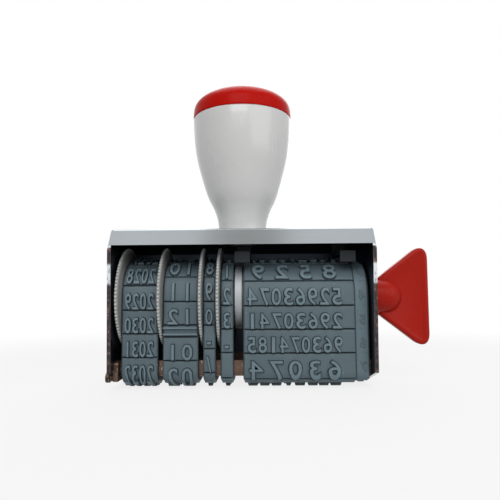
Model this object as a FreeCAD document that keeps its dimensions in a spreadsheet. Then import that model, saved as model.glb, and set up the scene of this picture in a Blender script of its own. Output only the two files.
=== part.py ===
import FreeCAD
import Part
import Sketcher
import math
import os

from FreeCAD import Placement, Rotation, Vector

# Band dater: a pressed housing with a turned handle, four thumb wheels and one wide drum,
# each carrying an endless rubber band that runs down round a common platen.
# Every shape is drawn about the wheel axis, which runs along X; front is -Y, up is +Z.

SIZES = [
    ("gauge", 1.0, "thickness of the pressed sheet of the housing"),
    ("housing_width", 70.4, "width over the two cheeks"),
    ("roof_height", 18.5, "top of the roof above the wheel axis"),
    ("roof_front", 11.7, "front bend of the roof, before the axis"),
    ("lip_drop", 4.5, "height of the slanted lip"),
    ("lip_slant", 2.9, "how far the lip leans outwards"),
    ("back_clearance", 0.6, "gap between the discs and the back wall"),
    ("cheek_front", 13.3, "lower front corner of a cheek, before the axis"),
    ("cheek_corner", 19.4, "lower corners of a cheek, under the axis"),
    ("cheek_point", 22.7, "lowest edge of a cheek, under the axis"),
    ("cheek_point_half", 2.5, "half the level part of that edge"),
    ("bend_radius", 0.9, "outer radius of the bends"),
    ("handle_foot_radius", 7.0, "handle where it stands on the roof"),
    ("handle_foot_height", 2.2, "straight part of the foot"),
    ("handle_waist_radius", 9.5, "handle where the flare turns into the belly"),
    ("handle_waist_height", 9.2, "that place above the roof"),
    ("handle_top_radius", 14.25, "handle under its cap"),
    ("handle_body_height", 33.3, "handle body above the roof"),
    ("flare_bulge", 0.4, "how far the flare curves in"),
    ("belly_bulge", 1.25, "how far the belly curves out"),
    ("cap_side_height", 3.4, "side of the cap up to its shoulder"),
    ("cap_shoulder_inset", 3.65, "where the shoulder meets the crown, from the cap's side"),
    ("cap_shoulder_height", 7.3, "that place above the body"),
    ("cap_height", 9.1, "crown of the cap above the body"),
    ("cap_taper", 0.1, "how much the cap's side draws in"),
    ("cap_crown_radius", 2.2, "level middle of the crown"),
    ("cap_crown_bulge", 0.4, "how far the crown curves out"),
    ("cap_shoulder_bulge", 0.75, "how far the shoulder curves out"),
    ("handle_wall", 5.25, "wall of the handle body round the cap's spigot"),
    ("spigot_depth", 3.0, "length of the spigot"),
    ("screw_radius", 1.9, "shank of the handle screw"),
    ("screw_head_radius", 3.6, "head of the handle screw"),
    ("screw_head_height", 1.1, "height of that head"),
    ("screw_reach", 13.0, "shank inside the handle"),
    ("washer_radius", 4.6, "washer under the screw head"),
    ("washer_height", 0.6, "thickness of that washer"),
    ("snug", 0.05, "radial clearance of what is held still or turns on a shaft"),
    ("axle_radius", 1.5, "common axle of the wheels"),
    ("axle_head_radius", 2.8, "riveted head of the axle"),
    ("axle_head_height", 0.8, "height of that head"),
    ("axle_washer_radius", 3.4, "washer between cheek and first wheel"),
    ("axle_washer_height", 0.6, "thickness of that washer"),
    ("first_gap", 0.2, "gap between that washer and the first disc"),
    ("disc_radius", 14.2, "thumb disc over its teeth"),
    ("disc_width", 0.8, "thickness of a thumb disc"),
    ("disc_teeth", 62, "teeth round a thumb disc"),
    ("tooth_sink", 0.02, "points of the teeth inside the disc's radius"),
    ("tooth_depth", 0.45, "depth between two teeth"),
    ("hub_ribs", 12, "grooves round a hub"),
    ("rib_depth", 0.5, "depth of those grooves"),
    ("rib_width", 0.9, "width of those grooves"),
    ("disc_gap", 0.2, "gap between a disc and its own band"),
    ("band_gap", 0.3, "gap between a band and its other neighbour"),
    ("hub_gap", 0.3, "gap between a hub and the band round it"),
    ("year_width", 9.8, "width of the year band"),
    ("month_width", 9.5, "width of the month band"),
    ("units_width", 3.35, "width of the first day band"),
    ("tens_width", 3.45, "width of the second day band"),
    ("phrase_clearance", 0.45, "gap between the wide band and the right cheek"),
    ("collar_width", 2.0, "width of the bright collar"),
    ("collar_radius", 8.9, "radius of the bright collar"),
    ("loop_radius", 8.9, "middle of the band's web round a wheel"),
    ("web", 1.0, "thickness of the band's web"),
    ("pad", 0.8, "height of the pads on the web"),
    ("type_height", 0.8, "height of the type on the pads"),
    ("groove", 0.45, "width of the groove between two pads"),
    ("letter", 4.0, "height of a character"),
    ("letter_drop", 0.7, "characters under the middle of their pad"),
    ("band_rows", 14, "rows round a band"),
    ("row_pitch", 6.25, "distance from row to row"),
    ("flat_half", 3.3, "half the flat where a row prints"),
    ("flank_drop", 1.0, "drop from the platen's corner to that flat"),
    ("corner_radius", 1.7, "middle of the web round the platen's corner"),
    ("platen_gauge", 1.0, "thickness of the platen's sheet"),
    ("platen_seat", 0.1, "gap between the platen's side and the band"),
    ("platen_rise", 4.6, "height of the platen's legs"),
    ("lug_radius", 1.0, "lug of the platen in the cheek"),
    ("lug_reach", 9.9, "lug from the middle of the platen"),
    ("lug_depth", 20.9, "lug under the axis"),
    ("lug_head_radius", 1.35, "peened head of a lug"),
    ("lug_head_height", 1.0, "height of that head"),
    ("ear_width", 1.3, "thickness of the platen's left ears"),
    ("tenon_foot", 19.6, "lower end of the platen's right tenons, under the axis"),
    ("tenon_top", 17.2, "upper end of those tenons"),
    ("tenon_spread", 0.3, "how far their peened ends stand over"),
    ("arm_width", 4.1, "width of a retainer arm"),
    ("arm_gauge", 0.9, "thickness of a retainer arm"),
    ("arm_front", 10.4, "front face of an arm's tab, before the axis"),
    ("arm_clearance", 0.5, "gap between an arm and the type under it"),
    ("tab_drop", 2.5, "height of a tab's front"),
    ("second_arm_inset", 7.4, "left side of the second arm, from the wide band's right side"),
    ("upright_gap", 0.4, "gap between an arm's upright and the screw's washer"),
    ("bridge_gauge", 1.0, "thickness of the retainer's plate"),
    ("bridge_overhang", 2.7, "plate beyond the first arm"),
    ("first_arm_inset", 0.15, "left side of the first arm, from the collar's left side"),
    ("spindle_radius", 2.0, "steel spindle of the knob"),
    ("spindle_in_drum", 6.8, "length of the spindle in the drum"),
    ("spindle_in_knob", 7.2, "length of the spindle in the knob"),
    ("shaft_gap", 1.5, "gap between the axle and the spindle"),
    ("pin_radius", 0.75, "cross pin through drum and spindle"),
    ("pin_inset", 3.8, "cross pin from the drum's right end"),
    ("barrel_radius", 4.9, "barrel of the knob"),
    ("barrel_length", 5.0, "straight barrel outside the cheek"),
    ("boss_step", 0.4, "drum's end boss inside the barrel's radius"),
    ("bore_spare", 0.5, "bore beyond the end of the axle"),
    ("end_gap", 0.1, "small gaps at the ends of hubs and of the drum"),
    ("bushing_radius", 6.0, "bushing in the right cheek"),
    ("bushing_flange", 7.2, "flange of the bushing"),
    ("flange_height", 0.8, "thickness of that flange"),
    ("wing_gap", 3.2, "gap between the cheek and the knob's wing"),
    ("wing_length", 14.1, "length of the wing"),
    ("wing_neck", 5.2, "half the wing's height at its inner edge"),
    ("wing_slope", 0.773, "rise of the wing's slanted edge per length"),
    ("wing_gauge", 3.6, "thickness of the wing"),
    ("wing_corner", 2.75, "radius of its two outer corners"),
    ("wing_inner_corner", 0.9, "radius of its two inner corners"),
    ("wing_border", 1.3, "width of the raised border"),
    ("wing_recess", 0.45, "depth inside that border"),
    ("wing_edge", 0.4, "bevel of the wing's edges"),
]


class Dim:
    """A length with its number and the expression that gives it in the document."""

    def __init__(self, value, text):
        self.value = value
        self.text = text

    def __add__(self, other):
        other = dim(other)
        return Dim(self.value + other.value, f"({self.text} + {other.text})")

    def __sub__(self, other):
        other = dim(other)
        return Dim(self.value - other.value, f"({self.text} - {other.text})")

    def __mul__(self, other):
        other = dim(other)
        return Dim(self.value * other.value, f"({self.text} * {other.text})")

    def __truediv__(self, other):
        other = dim(other)
        return Dim(self.value / other.value, f"({self.text} / {other.text})")

    def __neg__(self):
        return dim(0) - self

    def __radd__(self, other):
        return dim(other) + self

    def __rsub__(self, other):
        return dim(other) - self

    def __rmul__(self, other):
        return dim(other) * self


def dim(number):
    return number if isinstance(number, Dim) else Dim(float(number), repr(float(number)))


def root(length):
    return Dim(math.sqrt(length.value), f"sqrt({length.text})")


doc = FreeCAD.newDocument("band_dater")
sheet = doc.addObject("Spreadsheet::Sheet", "sizes")
for line, (alias, number, meaning) in enumerate(SIZES, start=1):
    sheet.set(f"A{line}", meaning)
    sheet.set(f"B{line}", str(number))
    sheet.setAlias(f"B{line}", alias)
doc.recompute()


def size(alias):
    return Dim(float(sheet.get(alias)), f"sizes.{alias}")


def count(alias):
    return int(round(size(alias).value))


gauge = size("gauge")
snug = size("snug")
half_width = size("housing_width") / 2
cheek_inside = half_width - gauge
roof = size("roof_height")
ceiling = roof - gauge
lip_level = roof - size("lip_drop")
lip_reach = size("roof_front") + size("lip_slant")
back_depth = size("disc_radius") + size("back_clearance") + gauge
spigot = size("handle_top_radius") - size("handle_wall")
wing_start = half_width + size("wing_gap")
wing_end = wing_start + size("wing_length")
barrel_end = half_width + size("barrel_length")

# Radii of a band's layers round a wheel, and the level of its lowest type.
band_inside = size("loop_radius") - size("web") / 2
hub_radius = band_inside - size("hub_gap")
web_outside = size("loop_radius") + size("web") / 2
pad_face = web_outside + size("pad")
type_face = pad_face + size("type_height")

# Faces of the platen's two legs, from the middle.
leg_outside = band_inside - size("platen_seat")
leg_inside = leg_outside - size("platen_gauge")


def platen_run():
    """Length of the band's middle line from the printing flat's centre to the wheel's level,
    without the straight side, worked out from the corner at the platen."""
    radius = size("loop_radius").value
    half = size("flat_half").value
    turn = math.atan2(size("flank_drop").value, radius - half)
    corner = size("corner_radius").value
    trim = corner * math.tan((math.pi / 2 - turn) / 2)
    flank = math.hypot(size("flank_drop").value, radius - half)
    return half + flank - trim + corner * (math.pi / 2 - turn) - trim


corner_level = (size("band_rows").value * size("row_pitch").value / 2
                - math.pi / 2 * size("loop_radius").value - platen_run())
flat_level = corner_level + size("flank_drop").value
axis_height = flat_level + size("web").value / 2 + size("pad").value + size("type_height").value

# The document's origin is the middle of the footprint of the whole part, on the type's level.
left_end = half_width + size("lug_head_height")
right_end = wing_end
shift = Vector(((left_end - right_end) / 2).value,
               ((lip_reach - back_depth) / 2).value,
               axis_height)

subparts = []


def finish(item, name):
    """Name a finished sub-part and stand it in its place."""
    doc.recompute()
    item.Label = name
    for axis in "xyz":
        item.setExpression(f"Placement.Base.{axis}", None)
    item.Placement = Placement(shift, Rotation()).multiply(item.Placement)
    subparts.append(item)
    return item


def origin_plane(body, role):
    return [plane for plane in body.Origin.OriginFeatures if plane.Role == role][0]


def new_sketch(body, role, level):
    """A sketch on one of the body's own planes, at a distance along the plane's normal."""
    sketch = body.newObject("Sketcher::SketchObject", "outline")
    sketch.AttachmentSupport = [(origin_plane(body, role), "")]
    sketch.MapMode = "FlatFace"
    sketch.AttachmentOffset = Placement(Vector(0, 0, dim(level).value), Rotation())
    sketch.setExpression("AttachmentOffset.Base.z", dim(level).text)
    return sketch


def fix(sketch, kind, geometry, vertex, length):
    place = sketch.addConstraint(Sketcher.Constraint(kind, -1, 1, geometry, vertex, length.value))
    sketch.setExpression(f"Constraints[{place}]", length.text)


def bulged(start, end, bulge):
    """An arc from start to end that stands off its chord by bulge, to the right when positive."""
    middle = (start + end) / 2
    along = (end - start).normalize()
    side = Vector(along.y, -along.x, 0)
    return Part.Arc(start, middle + side * bulge, end)


def draw(sketch, points, bulges=None):
    """A closed outline through points; bulges turns the side after a point into an arc."""
    bulges = bulges or {}
    corners = [Vector(dim(x).value, dim(y).value, 0) for x, y in points]
    for place, corner in enumerate(corners):
        following = corners[(place + 1) % len(corners)]
        if place in bulges:
            sketch.addGeometry(bulged(corner, following, dim(bulges[place]).value), False)
        else:
            sketch.addGeometry(Part.LineSegment(corner, following), False)
    for place in range(len(corners)):
        after = (place + 1) % len(corners)
        ends = [end_vertex(sketch, place, corners[after]), end_vertex(sketch, after, corners[after])]
        sketch.addConstraint(Sketcher.Constraint("Coincident", place, ends[0], after, ends[1]))
    for place, (x, y) in enumerate(points):
        vertex = end_vertex(sketch, place, corners[place])
        fix(sketch, "DistanceX", place, vertex, dim(x))
        fix(sketch, "DistanceY", place, vertex, dim(y))
    for place, bulge in bulges.items():
        x0, y0 = [dim(number) for number in points[place]]
        x1, y1 = [dim(number) for number in points[(place + 1) % len(points)]]
        stand = dim(bulge) if dim(bulge).value > 0 else -dim(bulge)
        quarter = ((x1 - x0) * (x1 - x0) + (y1 - y0) * (y1 - y0)) / 4
        radius = (quarter + stand * stand) / (2 * stand)
        mark = sketch.addConstraint(Sketcher.Constraint("Radius", place, radius.value))
        sketch.setExpression(f"Constraints[{mark}]", radius.text)


def end_vertex(sketch, geometry, corner):
    """1 or 2: which end of a side lies on the corner."""
    near = sketch.getPoint(geometry, 1).distanceToPoint(corner)
    far = sketch.getPoint(geometry, 2).distanceToPoint(corner)
    return 1 if near < far else 2


def bowed(start, end, bulge, runs):
    """The points after start on a shallow bow to end, that stands off its chord by bulge."""
    (x0, y0), (x1, y1) = [[dim(number) for number in point] for point in (start, end)]
    chord = root((x1 - x0) * (x1 - x0) + (y1 - y0) * (y1 - y0))
    points = []
    for run in range(1, runs):
        share = run / runs
        lift = dim(bulge) * (4 * share * (1 - share)) / chord
        points.append((x0 + (x1 - x0) * share + (y1 - y0) * lift,
                       y0 + (y1 - y0) * share - (x1 - x0) * lift))
    return points + [(x1, y1)]


def draw_circle(sketch, x, y, radius):
    x, y, radius = dim(x), dim(y), dim(radius)
    circle = Part.Circle(Vector(x.value, y.value, 0), Vector(0, 0, 1), radius.value)
    place = sketch.addGeometry(circle, False)
    fix(sketch, "DistanceX", place, 3, x)
    fix(sketch, "DistanceY", place, 3, y)
    mark = sketch.addConstraint(Sketcher.Constraint("Radius", place, radius.value))
    sketch.setExpression(f"Constraints[{mark}]", radius.text)


def extrude(body, kind, sketch, length, backwards=False):
    """A pad or a pocket of the sketch; it tells when a pocket misses the solid."""
    before = body.Shape.Volume if body.Tip else 0
    feature = body.newObject(f"PartDesign::{kind}", kind.lower())
    feature.Profile = sketch
    feature.Reversed = backwards
    feature.setExpression("Length", dim(length).text)
    doc.recompute()
    if kind == "Pocket" and feature.Shape.Volume > before - 1e-6:
        raise RuntimeError(f"{body.Name}: a pocket cuts nothing")
    return feature


def revolve(body, kind, sketch, axis):
    feature = body.newObject(f"PartDesign::{kind}", kind.lower())
    feature.Profile = sketch
    feature.ReferenceAxis = (sketch, [axis])
    feature.Angle = 360
    doc.recompute()
    return feature


def repeat_round(body, feature, copies):
    pattern = body.newObject("PartDesign::PolarPattern", "ring")
    pattern.Originals = [feature]
    pattern.Axis = (origin_plane(body, "X_Axis"), [""])
    pattern.Angle = 360
    pattern.Occurrences = copies
    body.Tip = pattern
    doc.recompute()
    return pattern


def dress_edges(body, kind, amount, measure, wanted):
    """A fillet or a chamfer on the edges for which wanted(edge) is true."""
    base = body.Tip
    names = [f"Edge{n}" for n, edge in enumerate(base.Shape.Edges, start=1) if wanted(edge)]
    dressed = body.newObject(f"PartDesign::{kind}", kind.lower())
    dressed.Base = (base, names)
    setattr(dressed, measure, dim(amount).value)
    dressed.setExpression(measure, dim(amount).text)
    doc.recompute()
    return dressed


def round_edges(body, radius, wanted):
    return dress_edges(body, "Fillet", radius, "Radius", wanted)


def bevel_edges(body, width, wanted):
    return dress_edges(body, "Chamfer", width, "Size", wanted)


def middle_of(edge):
    return edge.valueAt((edge.FirstParameter + edge.LastParameter) / 2)


def is_along(edge, direction):
    if not isinstance(edge.Curve, Part.Line):
        return False
    return abs(abs(edge.tangentAt(edge.FirstParameter).dot(direction)) - 1) < 1e-6


def rod(name, start, end, radius):
    """A round bar along X between two places."""
    start, end, radius = dim(start), dim(end), dim(radius)
    bar = doc.addObject("Part::Cylinder", name)
    bar.setExpression("Radius", radius.text)
    bar.setExpression("Height", (end - start).text)
    bar.Placement = Placement(Vector(start.value, 0, 0), Rotation(Vector(0, 1, 0), 90))
    bar.setExpression("Placement.Base.x", start.text)
    return bar


def upright(name, x, bottom, top, radius):
    """A round bar along Z, above the wheel axis's line at x."""
    x, bottom, top, radius = dim(x), dim(bottom), dim(top), dim(radius)
    bar = doc.addObject("Part::Cylinder", name)
    bar.setExpression("Radius", radius.text)
    bar.setExpression("Height", (top - bottom).text)
    bar.setExpression("Placement.Base.x", x.text)
    bar.setExpression("Placement.Base.z", bottom.text)
    return bar


def join(name, pieces):
    whole = doc.addObject("Part::MultiFuse", name)
    whole.Shapes = pieces
    return whole


def cut(name, base, tool):
    rest = doc.addObject("Part::Cut", name)
    rest.Base = base
    rest.Tool = tool
    return rest


# Housing

def build_housing():
    """The pressed housing: roof, slanted lips before and behind, back wall and two cheeks."""
    body = doc.addObject("PartDesign::Body", "frame")
    back = back_depth
    roof_back = back - size("lip_slant")
    point, level = size("cheek_point_half"), size("cheek_point")
    outer = new_sketch(body, "YZ_Plane", -half_width)
    draw(outer, [
        (-size("roof_front"), roof),
        (-lip_reach, lip_level),
        (-size("cheek_front"), -size("cheek_corner")),
        (-point, -level),
        (point, -level),
        (back, -size("cheek_corner")),
        (back, lip_level),
        (roof_back, roof),
    ])
    extrude(body, "Pad", outer, size("housing_width"))
    round_edges(body, size("bend_radius"), is_bend)

    slant_length = root(size("lip_slant") * size("lip_slant") + size("lip_drop") * size("lip_drop"))
    wall = gauge * slant_length / size("lip_drop")
    lean = size("lip_slant") / size("lip_drop")
    outside = lip_reach + 5
    cavity = new_sketch(body, "YZ_Plane", cheek_inside)
    draw(cavity, [
        (wall - size("roof_front") - gauge * lean, ceiling),
        (wall - lip_reach, lip_level),
        (-outside, lip_level),
        (-outside, -outside * 2),
        (back - gauge, -outside * 2),
        (back - gauge, lip_level - gauge * lean),
        (roof_back - wall + gauge * lean, ceiling),
    ])
    extrude(body, "Pocket", cavity, cheek_inside * 2)

    # The platen's round lugs pass the left cheek, its flat tenons the right one.
    for side in (-1, 1):
        lug_hole = new_sketch(body, "YZ_Plane", -cheek_inside)
        draw_circle(lug_hole, size("lug_reach") * side, -size("lug_depth"), size("lug_radius") + snug)
        extrude(body, "Pocket", lug_hole, gauge)
        slot = new_sketch(body, "YZ_Plane", cheek_inside)
        near, far = (leg_inside - snug) * side, (leg_outside + snug) * side
        foot, head = -size("tenon_foot") - snug, -size("tenon_top") + snug
        draw(slot, [(near, foot), (far, foot), (far, head), (near, head)])
        extrude(body, "Pocket", slot, gauge, True)
    for level, radius, backwards in ((-cheek_inside, size("axle_radius"), False),
                                     (cheek_inside, size("bushing_radius"), True)):
        hole = new_sketch(body, "YZ_Plane", level)
        draw_circle(hole, 0, 0, radius + snug)
        extrude(body, "Pocket", hole, gauge, backwards)
    screw_hole = new_sketch(body, "XY_Plane", roof)
    draw_circle(screw_hole, 0, 0, size("screw_radius") + snug)
    extrude(body, "Pocket", screw_hole, gauge)
    return finish(body, "frame")


def is_bend(edge):
    """The housing's bends: round the roof, down the slants and down the back corners."""
    place = middle_of(edge)
    along_x = is_along(edge, Vector(1, 0, 0))
    at_end = abs(abs(place.x) - half_width.value) < 1e-6
    on_roof = place.z > roof.value - 1e-6
    on_lip = lip_level.value < place.z < roof.value
    on_back = abs(place.y - back_depth.value) < 1e-6 and abs(place.z) < lip_level.value
    return on_roof or (not along_x and at_end and (on_lip or on_back))


# Handle

def build_handle_body():
    """The turned white handle, standing on the roof, with a pilot bore and a seat for the cap."""
    body = doc.addObject("PartDesign::Body", "handle_body")
    foot, waist, top = (size("handle_foot_radius"), size("handle_waist_radius"),
                        size("handle_top_radius"))
    head = roof + size("handle_body_height")
    bore = size("screw_radius") + snug
    seat_floor = head - size("spigot_depth") - snug * 2
    foot_top = (foot, roof + size("handle_foot_height"))
    neck = (waist, roof + size("handle_waist_height"))
    profile = new_sketch(body, "XZ_Plane", 0)
    draw(profile, [
        (bore, roof),
        (foot, roof),
        foot_top,
        *bowed(foot_top, neck, -size("flare_bulge"), 3),
        *bowed(neck, (top, head), size("belly_bulge"), 4),
        (spigot + snug, head),
        (spigot + snug, seat_floor),
        (0, seat_floor),
        (0, roof + size("screw_reach") + 1),
        (bore, roof + size("screw_reach") + 1),
    ])
    revolve(body, "Revolution", profile, "V_Axis")
    return finish(body, "handle_body")


def build_handle_cap():
    """The red domed cap, with a spigot in the handle."""
    body = doc.addObject("PartDesign::Body", "handle_cap")
    rim = roof + size("handle_body_height")
    side_top = (size("handle_top_radius") - size("cap_taper"), rim + size("cap_side_height"))
    shoulder = (size("handle_top_radius") - size("cap_shoulder_inset"),
                rim + size("cap_shoulder_height"))
    crown = (size("cap_crown_radius"), rim + size("cap_height"))
    profile = new_sketch(body, "XZ_Plane", 0)
    draw(profile, [
        (0, rim - size("spigot_depth")),
        (spigot, rim - size("spigot_depth")),
        (spigot, rim),
        (size("handle_top_radius"), rim),
        side_top,
        *bowed(side_top, shoulder, size("cap_shoulder_bulge"), 3),
        *bowed(shoulder, crown, size("cap_crown_bulge"), 2),
        (0, rim + size("cap_height")),
    ])
    revolve(body, "Revolution", profile, "V_Axis")
    return finish(body, "handle_cap")


def build_handle_screw():
    """The screw that holds the handle and the retainer, from inside the housing."""
    plate = ceiling - size("bridge_gauge")
    head_top = plate - size("washer_height")
    shank = upright("screw_shank", 0, head_top, roof + size("screw_reach"), size("screw_radius"))
    head = upright("screw_head", 0, head_top - size("screw_head_height"), head_top,
                   size("screw_head_radius"))
    finish(join("handle_screw", [shank, head]), "handle_screw")
    disc = upright("washer_disc", 0, head_top, plate, size("washer_radius"))
    hole = upright("washer_hole", 0, head_top, plate, size("screw_radius") + snug)
    finish(cut("handle_washer", disc, hole), "handle_washer")


# Axle and wheels

def build_axle():
    """The axle, riveted in the left cheek, and the washer beside the first wheel."""
    head = rod("axle_head", -half_width - size("axle_head_height"), -half_width,
               size("axle_head_radius"))
    bar = rod("axle_bar", -half_width, axle_end, size("axle_radius"))
    finish(join("wheel_axle", [head, bar]), "wheel_axle")
    inner = size("axle_washer_height") - cheek_inside
    disc = rod("axle_disc", -cheek_inside, inner, size("axle_washer_radius"))
    hole = rod("axle_hole", -cheek_inside, inner, size("axle_radius") + snug)
    finish(cut("axle_washer", disc, hole), "axle_washer")


def rib_grooves(body, start, end):
    """Grooves along a hub that grip the band."""
    groove = new_sketch(body, "YZ_Plane", end)
    half = size("rib_width") / 2
    draw(groove, [
        (-half, hub_radius - size("rib_depth")),
        (half, hub_radius - size("rib_depth")),
        (half, hub_radius + 1),
        (-half, hub_radius + 1),
    ])
    first = extrude(body, "Pocket", groove, end - start)
    repeat_round(body, first, count("hub_ribs"))


def build_wheel(name, disc_left, hub_right):
    """A thumb wheel: a thin toothed disc and the ribbed hub that carries the band."""
    body = doc.addObject("PartDesign::Body", name)
    disc_right = disc_left + size("disc_width")
    disc = new_sketch(body, "YZ_Plane", disc_left)
    draw_circle(disc, 0, 0, size("disc_radius"))
    extrude(body, "Pad", disc, size("disc_width"))
    notch = new_sketch(body, "YZ_Plane", disc_right)
    point = size("disc_radius") - size("tooth_sink")
    half_pitch = math.pi * point / size("disc_teeth")
    draw(notch, [
        (0, point - size("tooth_depth")),
        (half_pitch * 2, point + size("tooth_depth")),
        (-half_pitch * 2, point + size("tooth_depth")),
    ])
    first = extrude(body, "Pocket", notch, size("disc_width"))
    repeat_round(body, first, count("disc_teeth"))
    hub = new_sketch(body, "YZ_Plane", disc_right)
    draw_circle(hub, 0, 0, hub_radius)
    extrude(body, "Pad", hub, hub_right - disc_right)
    rib_grooves(body, disc_right, hub_right)
    bore = new_sketch(body, "YZ_Plane", hub_right)
    draw_circle(bore, 0, 0, size("axle_radius") + snug)
    extrude(body, "Pocket", bore, hub_right - disc_left)
    return finish(body, name)


def build_drum(left, right):
    """The long ribbed drum of the wide band, its collar, spindle and cross pin."""
    body = doc.addObject("PartDesign::Body", "phrase_drum")
    shell = new_sketch(body, "YZ_Plane", left)
    draw_circle(shell, 0, 0, hub_radius)
    extrude(body, "Pad", shell, right - left)
    rib_grooves(body, left, right)
    boss = new_sketch(body, "YZ_Plane", right)
    draw_circle(boss, 0, 0, size("barrel_radius") - size("boss_step"))
    extrude(body, "Pad", boss, drum_end - right)
    bore = new_sketch(body, "YZ_Plane", left)
    draw_circle(bore, 0, 0, size("axle_radius") + snug)
    extrude(body, "Pocket", bore, axle_end + size("bore_spare") - left, True)
    socket = new_sketch(body, "YZ_Plane", drum_end)
    draw_circle(socket, 0, 0, size("spindle_radius"))
    extrude(body, "Pocket", socket, drum_end - spindle_start)
    cross = new_sketch(body, "XY_Plane", hub_radius)
    draw_circle(cross, pin_place, 0, size("pin_radius"))
    extrude(body, "Pocket", cross, hub_radius * 2)
    finish(body, "phrase_drum")

    ring = rod("collar_disc", left - size("collar_width"), left, size("collar_radius"))
    hole = rod("collar_hole", left - size("collar_width"), left, size("axle_radius") + snug)
    finish(cut("drum_collar", ring, hole), "drum_collar")

    bar = rod("spindle_bar", spindle_start, spindle_end, size("spindle_radius"))
    through = upright("spindle_hole", pin_place, -hub_radius, hub_radius, size("pin_radius"))
    finish(cut("knob_spindle", bar, through), "knob_spindle")
    pin_half = hub_radius - size("rib_depth") - 0.2
    finish(upright("drum_pin", pin_place, -pin_half, pin_half, size("pin_radius")), "drum_pin")


# Knob

def wing_outline(inset):
    """The wing's corners and the bulges of its two outer corners, moved inwards by inset."""
    slope = size("wing_slope")
    steep = root(slope * slope + 1)
    start = wing_start + inset
    end = wing_end - inset
    neck = size("wing_neck") + slope * inset - steep * inset
    tip = neck + slope * (end - start)
    radius = size("wing_corner") - inset
    tangent = radius * (steep + slope)
    stand = radius - radius * root((1 - slope / steep) / 2)
    slant_end, slant_tip = end - tangent / steep, tip - tangent * slope / steep
    points = [(start, -neck), (slant_end, -slant_tip), (end, tangent - tip),
              (end, tip - tangent), (slant_end, slant_tip), (start, neck)]
    return points, {1: stand, 3: stand}


def build_knob():
    """The red wing knob: a bordered wing on a round-nosed barrel, bored for the spindle."""
    body = doc.addObject("PartDesign::Body", "phrase_knob")
    half = size("wing_gauge") / 2
    wing = new_sketch(body, "XZ_Plane", -half)
    draw(wing, *wing_outline(dim(0)))
    extrude(body, "Pad", wing, size("wing_gauge"))
    across = Vector(0, 1, 0)
    round_edges(body, size("wing_inner_corner"), lambda edge: is_along(edge, across)
                and middle_of(edge).x < wing_start.value + 1e-6)
    bevel_edges(body, size("wing_edge"), lambda edge: abs(abs(middle_of(edge).y) - half.value) < 1e-6)
    for side, backwards in ((half, False), (-half, True)):
        recess = new_sketch(body, "XZ_Plane", side)
        draw(recess, *wing_outline(size("wing_border")))
        extrude(body, "Pocket", recess, size("wing_recess"), backwards)
    barrel = new_sketch(body, "XZ_Plane", 0)
    radius = size("barrel_radius")
    nose = barrel_end + radius
    nose_tip, nose_rim = (nose, radius / 5), (barrel_end, radius)
    draw(barrel, [
        (drum_end, 0),
        (nose, 0),
        nose_tip,
        *bowed(nose_tip, nose_rim, radius / 5, 3),
        (drum_end, radius),
    ])
    revolve(body, "Revolution", barrel, "H_Axis")
    bore = new_sketch(body, "YZ_Plane", drum_end)
    draw_circle(bore, 0, 0, size("spindle_radius"))
    extrude(body, "Pocket", bore, spindle_end - drum_end, True)
    return finish(body, "phrase_knob")


def build_bushing():
    """The flanged bushing that the knob's barrel turns in."""
    flange_end = half_width + size("flange_height")
    tube = rod("bushing_tube", cheek_inside, flange_end, size("bushing_radius"))
    flange = rod("bushing_rim", half_width, flange_end, size("bushing_flange"))
    hole = rod("bushing_bore", cheek_inside, flange_end, size("barrel_radius") + snug)
    finish(cut("knob_bushing", join("bushing_solid", [tube, flange]), hole), "knob_bushing")


# Retainer

def build_retainer():
    """The dark bridge under the roof, with two arms over the ends of the wide band."""
    body = doc.addObject("PartDesign::Body", "retainer_bridge")
    arm_gauge = size("arm_gauge")
    underside = type_face + size("arm_clearance")
    arm_top = underside + arm_gauge
    tab_foot = underside + arm_gauge / 2 - size("tab_drop")
    front = size("arm_front")
    plate_floor = ceiling - size("bridge_gauge")
    back = size("washer_radius") + size("upright_gap") + arm_gauge
    first = first_arm
    plate = new_sketch(body, "YZ_Plane", first - size("bridge_overhang"))
    draw(plate, [(-back, plate_floor), (back, plate_floor), (back, ceiling), (-back, ceiling)])
    extrude(body, "Pad", plate,
            second_arm + size("arm_width") - first + size("bridge_overhang"))
    for left in (first, second_arm):
        arm = new_sketch(body, "YZ_Plane", left)
        draw(arm, [
            (-front, tab_foot),
            (-front + arm_gauge, tab_foot),
            (-front + arm_gauge, underside),
            (back, underside),
            (back, ceiling),
            (back - arm_gauge, ceiling),
            (back - arm_gauge, arm_top),
            (-front, arm_top),
        ])
        extrude(body, "Pad", arm, size("arm_width"))
    screw_hole = new_sketch(body, "XY_Plane", ceiling)
    draw_circle(screw_hole, 0, 0, size("screw_radius") + snug)
    extrude(body, "Pocket", screw_hole, size("bridge_gauge"))
    return finish(body, "retainer_bridge")


# Bands and platen

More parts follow.
